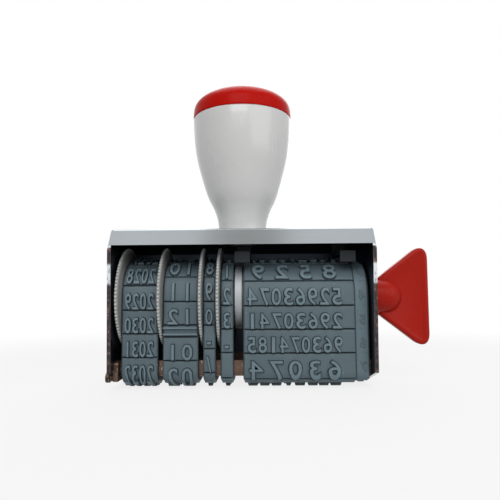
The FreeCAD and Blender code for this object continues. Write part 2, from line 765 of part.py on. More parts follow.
def loop_face(offset):
    """The area inside the band's middle line moved outwards by offset, in the plane X = 0."""
    radius = size("loop_radius").value + offset
    corner = size("corner_radius").value + offset
    turn = math.atan2(size("flank_drop").value, size("loop_radius").value - size("flat_half").value)
    trim = size("corner_radius").value * math.tan((math.pi / 2 - turn) / 2)
    centre_y = size("loop_radius").value - size("corner_radius").value
    centre_z = -corner_level + trim
    flat = -flat_level - offset
    flat_y = size("flat_half").value + offset * math.tan(turn / 2)
    side = [
        Vector(0, 0, radius),
        Vector(0, -radius * math.sin(math.pi / 4), radius * math.cos(math.pi / 4)),
        Vector(0, -radius, 0),
        Vector(0, -radius, centre_z),
        None,
        Vector(0, -centre_y - corner * math.sin(turn), centre_z - corner * math.cos(turn)),
        Vector(0, -flat_y, flat),
    ]
    bend = (math.pi / 2 + turn) / 2
    side[4] = Vector(0, -centre_y - corner * math.sin(bend), centre_z - corner * math.cos(bend))
    other = [Vector(0, -point.y, point.z) for point in side]
    edges = [
        Part.Arc(side[2], side[0], other[2]).toShape(),
        Part.LineSegment(side[2], side[3]).toShape(),
        Part.Arc(side[3], side[4], side[5]).toShape(),
        Part.LineSegment(side[5], side[6]).toShape(),
        Part.LineSegment(side[6], other[6]).toShape(),
        Part.LineSegment(other[6], other[5]).toShape(),
        Part.Arc(other[5], other[4], other[3]).toShape(),
        Part.LineSegment(other[3], other[2]).toShape(),
    ]
    return Part.Face(Part.Wire(Part.__sortEdges__(edges)))


def on_loop(distance):
    """Point and outward normal on the band's middle line, at a distance from the printing flat's
    centre, counted up the front."""
    total = size("band_rows").value * size("row_pitch").value
    distance = (distance + total / 2) % total - total / 2
    side = 1 if distance >= 0 else -1
    left = abs(distance)
    radius = size("loop_radius").value
    corner = size("corner_radius").value
    turn = math.atan2(size("flank_drop").value, radius - size("flat_half").value)
    trim = corner * math.tan((math.pi / 2 - turn) / 2)
    flank = math.hypot(size("flank_drop").value, radius - size("flat_half").value) - trim
    bend = corner * (math.pi / 2 - turn)
    straight = corner_level - trim
    half = size("flat_half").value
    if left < half:
        place, normal = Vector(0, -left, -flat_level), Vector(0, 0, -1)
    elif left < half + flank:
        run = left - half
        place = Vector(0, -half - run * math.cos(turn), -flat_level + run * math.sin(turn))
        normal = Vector(0, -math.sin(turn), -math.cos(turn))
    elif left < half + flank + bend:
        angle = turn + (left - half - flank) / corner
        normal = Vector(0, -math.sin(angle), -math.cos(angle))
        place = Vector(0, corner - radius, trim - corner_level) + normal * corner
    elif left < half + flank + bend + straight:
        run = left - half - flank - bend
        place, normal = Vector(0, -radius, run - straight), Vector(0, -1, 0)
    else:
        angle = (left - half - flank - bend - straight) / radius
        normal = Vector(0, -math.cos(angle), math.sin(angle))
        place = normal * radius
    if side < 0:
        place.y, normal.y = -place.y, -normal.y
    return place, normal


def block(left, right, height, inner, outer, distance):
    """A block on the band: from left to right along X, height along the band, between two
    offsets from its middle line."""
    place, normal = on_loop(distance)
    solid = Part.makeBox(right - left, height, outer - inner, Vector(left, -height / 2, inner))
    turned = Rotation(Vector(1, 0, 0), math.degrees(math.atan2(-normal.y, normal.z)))
    solid.Placement = Placement(place, turned).multiply(solid.Placement)
    return solid


def build_band(name, left, width, shift_along, type_left, type_right, rows=None, splits=None):
    """An endless rubber band: web, pads between the splits and a bar of type on each row.
    Rows and splits are counted in pitches up the front from the flat where a row prints."""
    x0, length = left.value, width.value
    web, pad = size("web").value / 2, size("pad").value
    pitch, groove = size("row_pitch").value, size("groove").value
    rows = list(range(count("band_rows"))) if rows is None else rows
    splits = [row + 0.5 for row in range(count("band_rows"))] if splits is None else splits
    ring = loop_face(web + pad).cut(loop_face(-web))
    ring.translate(Vector(x0, 0, 0))
    band = ring.extrude(Vector(length, 0, 0))
    over = groove * 2
    band = band.cut([block(x0 - over, x0 + length + over, groove, web, web + pad + over,
                           shift_along + split * pitch) for split in splits])
    bars = [block(x0 + type_left, x0 + type_right, size("letter").value, web + pad / 2,
                  web + pad + size("type_height").value,
                  shift_along + row * pitch - size("letter_drop").value) for row in rows]
    spread = size("housing_width").value
    paper = Part.makeBox(length + over * 2, spread, spread,
                         Vector(x0 - over, -spread / 2, -axis_height - spread))
    item = doc.addObject("Part::Feature", name)
    item.Shape = band.fuse(bars).cut(paper).removeSplitter()
    return finish(item, name)


def platen_ear(start, side, top):
    """An ear outside the band's loop, with a round lug peened on the left cheek."""
    reach, depth, lug = size("lug_reach").value, size("lug_depth").value, size("lug_radius").value
    head_height = size("lug_head_height").value
    low, high = sorted((side * (leg_inside.value - lug / 2), side * (reach + lug)))
    ear = Part.makeBox(size("ear_width").value, high - low, top + depth + lug,
                       Vector(start, low, -depth - lug))
    upper = [edge for edge in ear.Edges if is_along(edge, Vector(1, 0, 0))
             and abs(middle_of(edge).z - top) < 1e-6
             and abs(abs(middle_of(edge).y) - reach - lug) < 1e-6]
    outward = Vector(-1, 0, 0)
    shank = Part.makeCylinder(lug, gauge.value, Vector(start, side * reach, -depth), outward)
    outside = start - gauge.value
    head = Part.makeCylinder(size("lug_head_radius").value, head_height,
                             Vector(outside, side * reach, -depth), outward)
    return [ear.makeFillet(lug, upper), shank, head]


def platen_tenon(end, side):
    """A leg's own end, passed through the right cheek's slot and peened."""
    foot, tall = -size("tenon_foot").value, (size("tenon_foot") - size("tenon_top")).value
    low = min(side * leg_inside.value, side * leg_outside.value)
    spread, head_height = size("tenon_spread").value, size("lug_head_height").value
    thick = size("platen_gauge").value
    shank = Part.makeBox(gauge.value, thick, tall, Vector(end, low, foot))
    head = Part.makeBox(head_height, thick + spread * 2, tall + spread * 2,
                        Vector(end + gauge.value, low - spread, foot - spread))
    tip = end + gauge.value + head_height
    rim = [edge for edge in head.Edges if abs(middle_of(edge).x - tip) < 1e-6]
    return [shank, head.makeChamfer(size("tenon_spread").value, rim)]


def build_platen(left, right):
    """The platen: a channel whose underside holds the bands, peened in both cheeks."""
    inside = loop_face(-size("web").value / 2 - size("platen_seat").value)
    sheet_gauge = size("platen_gauge").value
    core = loop_face(-size("web").value / 2 - size("platen_seat").value - sheet_gauge)
    top = -corner_level + size("platen_rise").value
    spread = size("housing_width").value
    span = Part.makeBox(1, spread, spread, Vector(-0.5, -spread / 2, top - spread))
    channel = inside.cut(core).common(span)
    channel.translate(Vector(left.value, 0, -size("platen_seat").value))
    solid = channel.extrude(Vector((right - left).value, 0, 0))
    pieces = []
    for side in (-1, 1):
        pieces += platen_ear(left.value, side, top) + platen_tenon(right.value, side)
    item = doc.addObject("Part::Feature", "platen")
    item.Shape = solid.fuse(pieces).removeSplitter()
    return finish(item, "platen")


# Places along X, from left to right.
disc_step = size("disc_width") + size("disc_gap")
year_disc = size("axle_washer_height") + size("first_gap") - cheek_inside
year_left = year_disc + disc_step
month_disc = year_left + size("year_width") + size("band_gap")
month_left = month_disc + disc_step
units_disc = month_left + size("month_width") + size("band_gap")
units_left = units_disc + disc_step
tens_disc = units_left + size("units_width") + size("band_gap")
tens_left = tens_disc + disc_step
collar_left = tens_left + size("tens_width") + size("band_gap")
drum_left = collar_left + size("collar_width")
phrase_left = drum_left + size("band_gap")
phrase_right = cheek_inside - size("phrase_clearance")
drum_right = phrase_right - size("end_gap")
drum_end = cheek_inside + size("end_gap")
spindle_start = drum_end - size("spindle_in_drum")
spindle_end = drum_end + size("spindle_in_knob")
pin_place = drum_end - size("pin_inset")
axle_end = spindle_start - size("shaft_gap")
first_arm = collar_left + size("first_arm_inset")
second_arm = phrase_right - size("second_arm_inset")

build_housing()
build_handle_body()
build_handle_cap()
build_handle_screw()
build_retainer()
build_axle()
wheels = [
    ("year_wheel", year_disc, year_left + size("year_width") + size("end_gap")),
    ("month_wheel", month_disc, month_left + size("month_width") + size("end_gap")),
    ("day_units_wheel", units_disc, units_left + size("units_width") + size("end_gap")),
    ("day_tens_wheel", tens_disc, tens_left + size("tens_width") + size("end_gap")),
]
for wheel_name, disc_place, hub_place in wheels:
    build_wheel(wheel_name, disc_place, hub_place)
build_drum(drum_left, drum_right)
build_knob()
build_bushing()
build_band("year_band", year_left, size("year_width"), -1.5, 0.7, 9.1)
# Between the first and the last month the band has a half row with no type.
build_band("month_band", month_left, size("month_width"), -2.4, 1.2, 8.3,
           [0, 1, 2, 3] + [row + 4.5 for row in range(8)],
           [0.5, 1.5, 2.5, 3.5] + [row + 4 for row in range(10)] + [13.5])
build_band("day_units_band", units_left, size("units_width"), 0.7, 0.3, 3.05)
build_band("day_tens_band", tens_left, size("tens_width"), -0.35, 0.3, 3.15)
build_band("phrase_band", phrase_left, phrase_right - phrase_left, -0.55, 1.3, 26.2)
build_platen(-cheek_inside, cheek_inside)

for item in doc.Objects:
    if "Invalid" in item.State or "Error" in item.State:
        raise RuntimeError(f"{item.Label} failed: {item.State}")
for item in subparts:
    if item.Shape.isNull() or not item.Shape.isValid():
        raise RuntimeError(f"{item.Label} has no valid shape")

os.makedirs("parts", exist_ok=True)
for item in subparts:
    item.Shape.exportStep(f"parts/{item.Label}.step")
    box = item.Shape.BoundBox
    print(item.Label, len(item.Shape.Solids), round(item.Shape.Volume, 2),
          [round(value, 2) for value in (box.XMin, box.YMin, box.ZMin, box.XMax, box.YMax, box.ZMax)])
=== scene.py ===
import math

import bmesh
import bpy
from mathutils import Matrix, Vector


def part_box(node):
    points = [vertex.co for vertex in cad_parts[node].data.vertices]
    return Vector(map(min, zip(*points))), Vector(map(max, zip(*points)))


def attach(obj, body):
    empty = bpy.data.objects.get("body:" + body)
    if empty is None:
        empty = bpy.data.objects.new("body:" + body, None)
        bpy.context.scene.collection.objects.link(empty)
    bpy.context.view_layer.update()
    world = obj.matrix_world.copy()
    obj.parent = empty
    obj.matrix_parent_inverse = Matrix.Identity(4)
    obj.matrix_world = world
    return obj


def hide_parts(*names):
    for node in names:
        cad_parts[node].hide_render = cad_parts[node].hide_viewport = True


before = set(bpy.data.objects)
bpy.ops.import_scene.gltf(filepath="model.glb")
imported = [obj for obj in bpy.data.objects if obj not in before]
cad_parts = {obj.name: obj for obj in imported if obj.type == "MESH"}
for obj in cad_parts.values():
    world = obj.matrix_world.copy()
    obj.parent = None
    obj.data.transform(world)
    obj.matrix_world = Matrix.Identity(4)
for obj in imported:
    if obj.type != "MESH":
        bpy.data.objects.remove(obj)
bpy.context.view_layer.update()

bl_info = {
    "name": "Band dater",
    "version": (1, 0, 0),
    "blender": (4, 5, 0),
    "location": "3D View > Sidebar > Dater",
    "description": "Dresses the packed band dater: rubber bands with type, wheels, handle, knob, "
                   "finishes, stage",
    "category": "Object",
}

MM = 0.001

# A point on the wheel axis, in the middle of the housing's width
AXIS = Vector(((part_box("frame")[0].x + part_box("frame")[1].x) / 2, -0.6 * MM,
               (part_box("drum_collar")[0].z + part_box("drum_collar")[1].z) / 2))

# How far pads, type and fine lines reach into what carries them
SINK = 0.1 * MM

# Height of a digit of Blender's own font at size 1
DIGIT_HEIGHT = 0.73

# The handle's side: radius and height over the foot, in mm, up to just under the rim
HANDLE_SIDE = ((6.95, 0.25), (6.98, 2.0), (7.44, 4.5), (8.33, 6.9), (9.50, 9.2), (10.52, 11.7),
               (11.92, 16.4), (13.12, 21.1), (13.85, 26.0), (14.16, 30.6))

# The cap's dome: radius and height over the rim, in mm, and then radius and depth under the crown
DOME_SIDE = ((14.22, 1.4), (14.02, 2.9), (13.42, 4.2), (12.20, 5.4), (10.2, 6.5), (7.6, 7.5),
             (4.6, 8.25))
DOME_TOP = ((2.2, 0.42), (0, 0.30))

# Each lamp's name, place and size in metres, and power in watts; all look at LAMP_AIM
LAMPS = (("key_lamp", (-0.06, -0.60, 0.48), 0.5, 3.0),
         ("fill_lamp", (0.45, -0.45, 0.30), 0.6, 1.5),
         ("top_lamp", (0.0, 0.15, 0.70), 0.6, 1.6),
         ("back_lamp", (0.1, 0.60, 0.35), 0.6, 1.1))
LAMP_AIM = Vector((-0.003, 0, 0.04))


# Sizes and colours that a user would change

def length(name, text, millimetres):
    return bpy.props.FloatProperty(name=name, description=text, default=millimetres * MM,
                                   min=0.0, unit="LENGTH", precision=5)


def colour(name, text, value):
    return bpy.props.FloatVectorProperty(name=name, description=text, default=value, size=3,
                                         min=0.0, max=1.0, subtype="COLOR")


class DaterBands(bpy.types.PropertyGroup):
    """Sizes of the rubber bands and of the loop that they run round."""
    loop_radius: length("Loop radius", "Middle of the web round a wheel", 8.9)
    web: length("Web", "Thickness of the web", 1.0)
    pad: length("Pad", "Height of a pad on the web", 0.8)
    type_height: length("Type height", "Height of the type on a pad", 0.8)
    draft: length("Draft", "How far a pad's ends lean in", 0.45)
    groove: length("Groove", "Gap between two pads", 0.30)
    rounding: length("Rounding", "Rounding of a pad's upper edges", 0.12)
    letter: length("Letter", "Height of a character", 4.2)
    letter_drop: length("Letter drop", "Characters under the middle of their pad", 0.75)
    skirt: length("Skirt", "How far the foot of a character spreads", 0.30)
    pitch: length("Pitch", "Distance from row to row", 6.25)
    flat_half: length("Flat half", "Half the flat where a row prints", 3.3)
    flank_drop: length("Flank drop", "Drop from the platen's corner to that flat", 1.0)
    corner_radius: length("Corner radius", "Middle of the web round the platen's corner", 1.7)
    margin: length("Margin", "Bare margin of the wide band", 3.55)
    rows: bpy.props.IntProperty(name="Rows", description="Rows round a band", default=14, min=4)


class DaterWheels(bpy.types.PropertyGroup):
    """Sizes of the thumb wheels and of the collar."""
    radius: length("Radius", "Thumb wheel over its teeth", 14.2)
    tooth: length("Tooth", "Radial reach of a tooth's round end", 0.45)
    teeth: bpy.props.IntProperty(name="Teeth", description="Teeth round a wheel", default=86,
                                 min=12)
    width: length("Width", "Thickness of a thumb wheel", 0.8)
    hub_radius: length("Hub radius", "Hub that carries the band", 8.1)
    bore: length("Bore", "Radius of the bore", 1.55)
    edge: length("Edge", "Chamfer of the wheel's and the collar's edges", 0.12)


class DaterHandle(bpy.types.PropertyGroup):
    """Sizes of the turned handle and its cap."""
    radius: length("Radius", "Handle at its rim", 14.22)
    cap_radius: length("Cap radius", "Cap at its lower edge", 14.25)
    joint: length("Joint", "Depth of the fine joint under the cap", 0.14)
    roll: length("Roll", "Rounding of the cap's lower edge", 0.22)
    spigot: length("Spigot", "Radius of the cap's spigot", 8.95)
    bore: length("Bore", "Radius of the handle's pilot bore", 1.95)
    bore_depth: length("Bore depth", "Depth of the handle's pilot bore", 14.0)


class DaterKnob(bpy.types.PropertyGroup):
    """Sizes of the wing knob."""
    wing: length("Wing", "From the middle of the housing to the wing's inner edge", 38.4)
    thickness: length("Thickness", "Thickness of the wing", 3.6)
    neck: length("Neck", "Half the wing's height at its inner edge", 5.2)
    slope: bpy.props.FloatProperty(name="Slope", description="Rise of the slanted edges per length",
                                   default=0.773, min=0.1)
    corner: length("Corner", "Radius of the two outer corners", 2.75)
    edge: length("Edge", "Rounding of the wing's rim", 0.8)
    border: length("Border", "Width of the raised border", 0.40)
    recess: length("Recess", "Depth inside the border", 0.22)
    barrel: length("Barrel", "Radius of the barrel", 4.9)
    groove: length("Groove", "From the middle of the housing to the barrel's groove", 36.15)
    nose: length("Nose", "From the middle of the housing to where the nose starts", 40.2)


class DaterColours(bpy.types.PropertyGroup):
    """Colours of the finishes."""
    chrome: colour("Chrome", "Plated sheet of the housing", (0.40, 0.43, 0.45))
    white: colour("White", "Moulded handle", (0.57, 0.57, 0.565))
    red_cap: colour("Cap red", "Moulded cap", (0.44, 0.006, 0.003))
    red_knob: colour("Knob red", "Moulded knob", (0.35, 0.011, 0.005))
    wheel: colour("Wheel grey", "Thumb wheels", (0.37, 0.38, 0.37))
    rubber: colour("Rubber", "Bands", (0.098, 0.138, 0.158))
    platen: colour("Platen", "Strip steel of the platen", (0.120, 0.076, 0.056))
    collar: colour("Collar", "Bright collar by the wide band", (0.42, 0.44, 0.46))
    dark: colour("Dark", "Retainer and bushing", (0.019, 0.023, 0.026))
    steel: colour("Steel", "Axle, screw and pins", (0.52, 0.52, 0.52))


# Finishes

class Wire:
    """An output in a material's nodes; Python operators add the Math nodes behind it."""

    def __init__(self, tree, socket):
        self.tree, self.socket = tree, socket

    def math(self, operation, *values):
        return add_node(self.tree, "ShaderNodeMath", {"operation": operation},
                        dict(enumerate(values)))

    def __add__(self, other):
        return self.math("ADD", self, other)

    def __sub__(self, other):
        return self.math("SUBTRACT", self, other)

    def __mul__(self, other):
        return self.math("MULTIPLY", self, other)

    def __rsub__(self, other):
        return self.math("SUBTRACT", other, self)

    __radd__ = __add__
    __rmul__ = __mul__

    def root(self):
        return self.math("SQRT", self)

    def absolute(self):
        return self.math("ABSOLUTE", self)

    def larger(self, other):
        return self.math("MAXIMUM", self, other)

    def rise(self, low, high):
        """0 below low, 1 above high, smooth between them."""
        return add_node(self.tree, "ShaderNodeMapRange", {"interpolation_type": "SMOOTHSTEP"},
                        {"Value": self, "From Min": low, "From Max": high})

    def fall(self, low, high):
        """1 below low, 0 above high, smooth between them."""
        return 1 - self.rise(low, high)


def add_node(tree, kind, settings=None, sockets=None, output=0):
    """A node of a kind, with its settings made first and then its sockets filled or linked."""
    node = tree.nodes.new(kind)
    for name, value in (settings or {}).items():
        if name == "stops":
            ramp = node.color_ramp.elements
            while len(ramp) > 1:
                ramp.remove(ramp[-1])
            for place, (position, tint) in enumerate(value):
                stop = ramp[0] if place == 0 else ramp.new(position)
                stop.position, stop.color = position, (*tint, 1.0)
        else:
            setattr(node, name, value)
    for name, value in (sockets or {}).items():
        socket = node.inputs[name]
        if isinstance(value, Wire):
            tree.links.new(value.socket, socket)
        elif socket.type == "RGBA":
            socket.default_value = (*value, 1.0)
        else:
            socket.default_value = value
    return Wire(tree, node.outputs[output] if len(node.outputs) else None)


def emptied(owner):
    """The node tree of a new material or world, with nothing in it yet."""
    owner.use_nodes = True
    owner.node_tree.nodes.clear()
    return owner.node_tree


class Finish:
    """One material: its nodes read Object coordinates, in metres."""

    def __init__(self, name, roughness, metallic=0.0, coat=0.0, gloss=0.5):
        self.material = bpy.data.materials.new(name)
        self.material.use_nodes = True
        self.tree = self.material.node_tree
        self.shader = self.tree.nodes["Principled BSDF"]
        for socket, value in (("Roughness", roughness), ("Metallic", metallic),
                              ("Coat Weight", coat), ("Coat Roughness", 0.08),
                              ("Specular IOR Level", gloss)):
            self.shader.inputs[socket].default_value = value
        self.place = self.node("ShaderNodeTexCoord", output="Object")

    def node(self, kind, settings=None, sockets=None, output=0):
        return add_node(self.tree, kind, settings, sockets, output)

    def noise(self, scale, detail=4.0, stretch=(1, 1, 1), roughness=0.55, seed=0.0):
        """Soft mottling with about so many spots to the metre, between 0 and 1."""
        moved = self.node("ShaderNodeMapping", {}, {"Vector": self.place, "Scale": stretch,
                                                    "Location": (seed, seed, seed)})
        return self.node("ShaderNodeTexNoise", {}, {"Vector": moved, "Scale": scale,
                                                    "Detail": detail, "Roughness": roughness})

    def axis(self, letter, vector=None):
        """X, Y or Z of the place on the piece, or of another vector."""
        return self.node("ShaderNodeSeparateXYZ", {}, {"Vector": vector or self.place}, letter)

    def mix(self, share, first, second, blend="MIX"):
        return self.node("ShaderNodeMix", {"data_type": "RGBA", "blend_type": blend},
                         {"Factor": share, 6: first, 7: second}, 2)

    def ramp(self, share, stops):
        """A colour that follows a share, from pairs of a share and its colour."""
        return self.node("ShaderNodeValToRGB", {"stops": stops}, {"Fac": share})

    def feed(self, wire, socket):
        self.tree.links.new(wire.socket, self.shader.inputs[socket])

    def relief(self, *layers):
        """Bump from pairs of a height field and its depth in metres, one behind the other."""
        normal = None
        for height, depth in layers:
            sockets = {"Height": height, "Distance": depth, "Strength": 1.0}
            if normal is not None:
                sockets["Normal"] = normal
            normal = self.node("ShaderNodeBump", {}, sockets)
        self.feed(normal, "Normal")
        return self.material


def shade(tint, factor):
    return tuple(min(1.0, part * factor) for part in tint)


def moulding(name, tint, roughness, coat=0.0, gloss=0.5):
    """Moulded plastic: faint cloudiness, a fine grain, scuffs in the gloss."""
    finish = Finish(name, roughness, coat=coat, gloss=gloss)
    cloud = finish.noise(90, 3.0)
    speck = finish.noise(2600, 2.0, seed=3.1)
    scuff = finish.noise(420, 5.0, stretch=(1, 1, 0.25), seed=7.7).rise(0.58, 0.72)
    base = finish.mix(cloud, shade(tint, 0.95), shade(tint, 1.05))
    finish.feed(finish.mix(speck * 0.2, base, shade(tint, 0.86)), "Base Color")
    finish.feed(scuff * 0.10 + cloud * 0.05 + (roughness - 0.03), "Roughness")
    return finish.relief((cloud, 0.06 * MM), (speck, 0.004 * MM))


def plated(name, tint, roughness, metallic=1.0):
    """Bright plating: a hazy sheen, hair scratches and small pits."""
    finish = Finish(name, roughness, metallic=metallic)
    haze = finish.noise(60, 4.0)
    hair = finish.noise(1400, 3.0, stretch=(0.05, 1, 1), seed=1.9)
    pit = finish.noise(1900, 1.0, seed=5.0).rise(0.70, 0.78)
    base = finish.mix(haze, shade(tint, 0.90), shade(tint, 1.08))
    finish.feed(finish.mix(pit, base, shade(tint, 0.45)), "Base Color")
    finish.feed(haze * 0.10 + hair * 0.06 + (roughness - 0.06), "Roughness")
    return finish.relief((haze, 0.03 * MM), (hair, 0.002 * MM))


def housing_chrome(tint):
    """Chromed sheet, bright outside; inside it is dull and painted nearly black as painted shade,
    its front edges are painted dark as a painted reflection with painted highlights in two
    stretches, and its edges are rough.
    """
    finish = Finish("housing_chrome", 0.2, metallic=1.0)
    x, y, z = (finish.axis(letter) for letter in "XYZ")
    low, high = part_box("frame")

    # The two lips slope down from the roof's front and rear edges, this far out and down in mm
    run, drop = 2.9, 4.5
    lean = math.hypot(run, drop)
    front = (z * run - y * drop) * (1 / lean)
    front_face = (high.z * run - (AXIS.y - 11.7 * MM) * drop) / lean
    rear = (z * run + y * drop) * (1 / lean)
    rear_face = (high.z * run + (high.y - run * MM) * drop) / lean

    # The inside, which gets painted shade, starts just before the sheet's full thickness
    skin, fade = 0.92 * MM, 0.04 * MM
    inside = x.rise(low.x + skin, low.x + skin + fade)
    for distance, face in ((x, high.x), (z, high.z), (y, high.y), (front, front_face),
                           (rear, rear_face)):
        inside = inside * distance.fall(face - skin - fade, face - skin)
    facing = finish.axis("Y", finish.node("ShaderNodeNewGeometry", output="True Normal"))
    edge = facing.fall(-0.97, -0.94) * (1 - inside)

    haze = finish.noise(45, 4.0)
    hair = finish.noise(1200, 3.0, stretch=(0.04, 1, 1), seed=2.2)
    foot = z.fall(low.z + 2 * MM, low.z + 12 * MM)
    rust = finish.noise(900, 4.0, seed=8.3).rise(0.60, 0.72) * foot
    chip = finish.noise(1500, 5.0, stretch=(1, 1, 0.55), seed=4.6)
    bright = finish.mix(haze, shade(tint, 0.94), shade(tint, 1.05))
    bright = finish.mix(rust * 0.55, bright, (0.16, 0.10, 0.07))

    # The front cut edges are chipped and painted dark, a painted reflection of the dark things they
    # face; two stretches of them carry a painted highlight
    cut = finish.ramp(chip, [
        (0.0, (0.012, 0.012, 0.014)), (0.50, (0.03, 0.022, 0.022)), (0.62, (0.12, 0.055, 0.045)),
        (0.70, (0.22, 0.21, 0.21)), (1.0, (0.75, 0.76, 0.78))])
    # Painted highlights on the front edges, one stretch above the axis and one under the lip
    lower = (z.rise(AXIS.z + 3.2 * MM, AXIS.z + 4.2 * MM)
             * z.fall(AXIS.z + 8.4 * MM, AXIS.z + 9.4 * MM))
    upper = z.rise(AXIS.z + 13.2 * MM, AXIS.z + 13.5 * MM)
    painted_edge_highlight = (lower + upper) * (chip.rise(0.36, 0.46) * 0.5 + 0.5)
    cut = finish.mix(painted_edge_highlight, cut, (0.66, 0.68, 0.71))
    bright = finish.mix(edge * 0.95, bright, cut)
    # Inside the housing the colour is painted nearly black: painted shade
    finish.feed(finish.mix(inside, bright, (0.050, 0.060, 0.078)), "Base Color")
    finish.feed(haze * 0.06 + hair * 0.05 + inside * 0.20 + edge * 0.15 + 0.12, "Roughness")
    return finish.relief((haze, 0.03 * MM), (hair, 0.002 * MM))


def band_rubber(tint):
    """Moulded rubber: mottled, with painted shade in the grooves and at the foot of the type and a
    painted highlight on the face of the type, a matt grain and a few light specks."""
    finish = Finish("moulded_rubber", 0.62, gloss=0.3)
    cloud = finish.noise(160, 5.0)
    patch = finish.noise(55, 3.0, seed=4.4)
    grain = finish.noise(5200, 2.0, seed=9.0)
    speck = finish.noise(1700, 1.0, seed=6.5).rise(0.74, 0.80)
    base = finish.mix(cloud, shade(tint, 2.8), shade(tint, 3.9))
    base = finish.mix(patch * 0.3, base, shade(tint, 4.3))

    # A grey for each level from the web, 0, to the face of the type, 1: painted shade low down and
    # at the foot of the type, the lower margin painted lighter than the pads, and a painted
    # highlight on the face of the type
    rise = finish.node("ShaderNodeAttribute", {"attribute_name": "rise"}, output="Fac")
    painted_shade_and_highlight = finish.ramp(rise, [(level, (grey, grey, grey)) for level, grey in (
        (0.0, 0.08), (0.08, 0.12), (0.17, 0.40), (0.32, 0.36), (0.46, 0.31), (0.51, 0.28),
        (0.57, 0.10), (0.86, 0.13), (0.96, 0.42))])
    # The painted shade and highlight darken and lighten the rubber's colour
    base = finish.mix(1.0, base, painted_shade_and_highlight, "MULTIPLY")
    finish.feed(finish.mix(speck * 0.4, base, (0.42, 0.45, 0.45)), "Base Color")
    finish.feed(cloud * 0.2 + 0.45, "Roughness")
    return finish.relief((cloud, 0.05 * MM), (grain, 0.010 * MM))


def strip_steel(tint):
    """Bare strip steel, warm with thin rust, drawn along its length and scraped bright in spots;
    its ears beyond the cheeks are nearly black."""
    finish = Finish("platen_steel", 0.42, metallic=0.85)
    rust = finish.noise(420, 6.0)
    drawn = finish.noise(900, 2.0, stretch=(0.05, 1, 1), seed=2.7)
    scrape = finish.noise(1300, 3.0, stretch=(1, 1, 0.4), seed=5.8).rise(0.60, 0.70)
    base = finish.mix(rust, shade(tint, 0.50), shade(tint, 1.50))
    ears = (finish.axis("X") - AXIS.x).absolute().rise(33.7 * MM, 34.2 * MM)
    base = finish.mix(ears * (0.9 - rust * 0.5), base, (0.020, 0.016, 0.016))
    finish.feed(finish.mix(scrape * 0.6, base, (0.50, 0.40, 0.34)), "Base Color")
    finish.feed(rust * 0.3 + 0.25, "Roughness")
    return finish.relief((rust, 0.04 * MM), (drawn, 0.01 * MM))


def wheel_plastic(tint, radius):
    """Light grey moulding: painted shade inside the rim, painted highlights on the round ends of
    the teeth.
    """
    finish = Finish("wheel_plastic", 0.45)
    y, z = finish.axis("Y") - AXIS.y, finish.axis("Z") - AXIS.z
    reach = (y * y + z * z).root()
    # Masks for painted shade inside the rim and a painted highlight on the round ends of the teeth
    rim = reach.rise(radius - 1.5 * MM, radius - 0.5 * MM)
    painted_highlight_ends = reach.rise(radius - 0.42 * MM, radius - 0.05 * MM)
    cloud = finish.noise(220, 4.0)
    grain = finish.noise(3800, 2.0, seed=1.2)
    base = finish.mix(cloud, shade(tint, 0.90), shade(tint, 1.08))
    # The grey darkened inside the rim: painted shade
    painted_shade_colour = finish.mix(0.6, base, shade(tint, 0.25))
    base = finish.mix(rim, painted_shade_colour, base)
    finish.feed(finish.mix(painted_highlight_ends * 0.75, base, shade(tint, 1.35)), "Base Color")
    finish.feed(cloud * 0.15 + 0.38, "Roughness")
    return finish.relief((cloud, 0.03 * MM), (grain, 0.006 * MM))


def fill_slots(piece, *materials):
    piece.data.materials.clear()
    for material in materials:
        piece.data.materials.append(material)


def dress(node, material):
    """A CAD node keeps its shape and gets a finish."""
    fill_slots(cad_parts[node], material)


# Modelling by hand

def deselect():
    bpy.ops.object.select_all(action="DESELECT")


def activate(piece):
    deselect()
    piece.select_set(True)
    bpy.context.view_layer.objects.active = piece


def pick(piece, test=None, kind="FACE"):
    """Edit mode, with only the wanted faces, edges or vertices of one piece selected."""
    if piece.mode != "EDIT":
        activate(piece)
        bpy.ops.object.mode_set(mode="EDIT")
    bpy.ops.mesh.select_mode(type=kind)
    bpy.ops.mesh.select_all(action="SELECT" if test is None else "DESELECT")
    if test is not None:
        mesh = bmesh.from_edit_mesh(piece.data)
        mesh.normal_update()
        for part in {"FACE": mesh.faces, "EDGE": mesh.edges, "VERT": mesh.verts}[kind]:
            if test(part):
                part.select_set(True)
        mesh.select_flush_mode()
        bmesh.update_edit_mesh(piece.data)


def reach_along_y(edge):
    return abs(edge.verts[0].co.y - edge.verts[1].co.y)


def settle(piece):
    """Back to object mode, with the piece's place put into its mesh."""
    bpy.ops.object.mode_set(mode="OBJECT")
    activate(piece)
    bpy.ops.object.transform_apply(location=True, rotation=True, scale=True)
    return piece


def block(name, low, high):
    """A cube primitive between two corners."""
    deselect()
    low, high = Vector(low), Vector(high)
    bpy.ops.mesh.primitive_cube_add(size=1, location=(low + high) / 2, scale=high - low)
    piece = bpy.context.object
    piece.name = name
    bpy.ops.object.transform_apply(location=True, rotation=True, scale=True)
    return piece


def smooth(piece, degrees):
    activate(piece)
    bpy.ops.object.shade_smooth_by_angle(angle=math.radians(degrees))


def copied(master, move):
    """A copy with its own mesh, its place in the mesh."""
    copy = master.copy()
    copy.data = master.data.copy()
    bpy.context.scene.collection.objects.link(copy)
    copy.data.transform(move)
    return copy


def join(pieces):
    """Makes one piece of several: the first one takes the others in."""
    deselect()
    for piece in pieces:
        piece.select_set(True)
    bpy.context.view_layer.objects.active = pieces[0]
    bpy.ops.object.join()


def discard(pieces):
    for piece in pieces:
        mesh = piece.data
        bpy.data.objects.remove(piece)
        bpy.data.meshes.remove(mesh)


